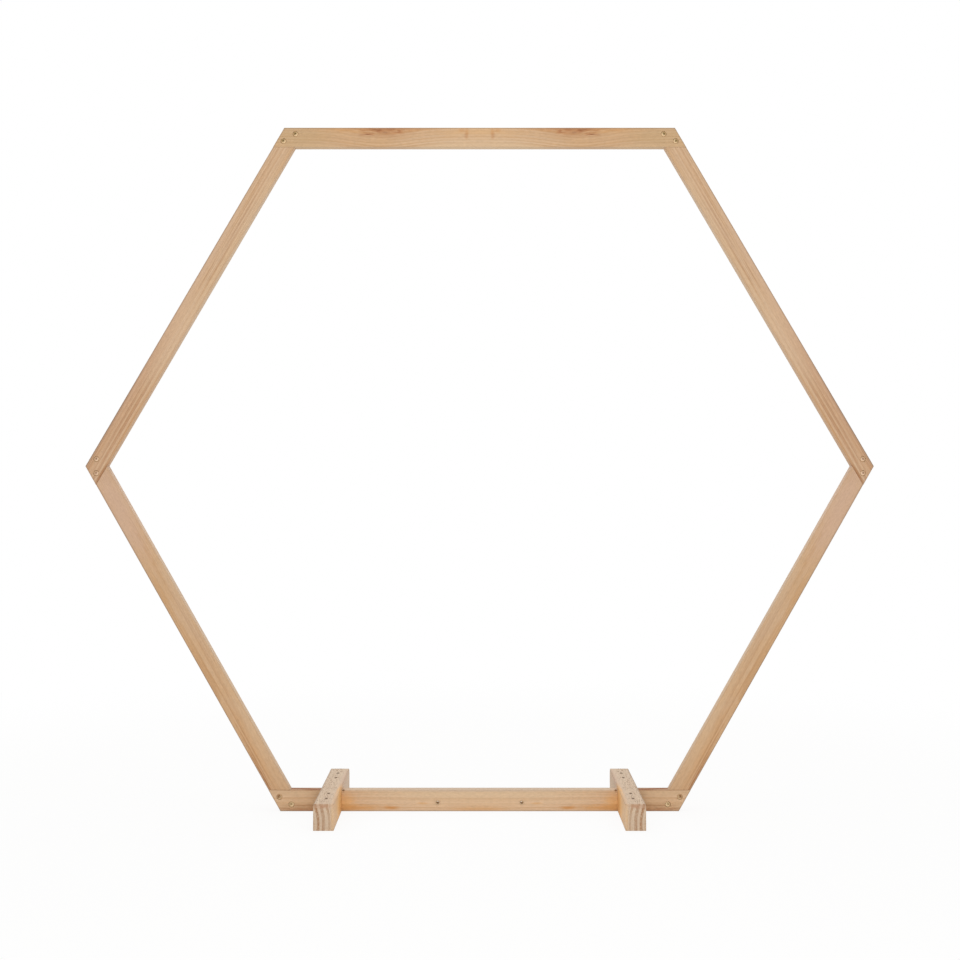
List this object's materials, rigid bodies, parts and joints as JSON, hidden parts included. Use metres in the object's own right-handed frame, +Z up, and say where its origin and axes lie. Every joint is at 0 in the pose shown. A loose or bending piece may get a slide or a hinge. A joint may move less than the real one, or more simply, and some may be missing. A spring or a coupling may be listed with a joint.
{
  "type": "hexagonal wooden wedding arch",
  "caption": "Free-standing hexagonal wedding arch of flat pine boards, half-lapped and bolted at the corners, on two cross feet.",
  "frame": {"origin": "on the floor, under the middle of the hexagon and halfway through its boards", "axes": "+X along the arch to the right as seen from the front, +Y from the front to the back, +Z up"},
  "size_m": [2.3, 0.5, 1.9919],
  "materials": {
    "board_pine": "planed clear pine, matt",
    "foot_pine": "planed pale pine, matt",
    "bolt_metal": "yellow zinc plate, satin"
  },
  "bodies": {
    "root": {"top_beam": "board_pine", "upper_left_rail": "board_pine", "upper_right_rail": "board_pine", "lower_left_rail": "board_pine", "lower_right_rail": "board_pine", "bottom_beam": "board_pine", "left_foot": "foot_pine", "right_foot": "foot_pine", "top_right_bolt_1": "bolt_metal", "top_right_nut_1": "bolt_metal", "top_right_bolt_2": "bolt_metal", "top_right_nut_2": "bolt_metal", "right_bolt_1": "bolt_metal", "right_nut_1": "bolt_metal", "right_bolt_2": "bolt_metal", "right_nut_2": "bolt_metal", "bottom_right_bolt_1": "bolt_metal", "bottom_right_nut_1": "bolt_metal", "bottom_right_bolt_2": "bolt_metal", "bottom_right_nut_2": "bolt_metal", "bottom_left_bolt_1": "bolt_metal", "bottom_left_nut_1": "bolt_metal", "bottom_left_bolt_2": "bolt_metal", "bottom_left_nut_2": "bolt_metal", "left_bolt_1": "bolt_metal", "left_nut_1": "bolt_metal", "left_bolt_2": "bolt_metal", "left_nut_2": "bolt_metal", "top_left_bolt_1": "bolt_metal", "top_left_nut_1": "bolt_metal", "top_left_bolt_2": "bolt_metal", "top_left_nut_2": "bolt_metal"}
  },
  "joints": []
}
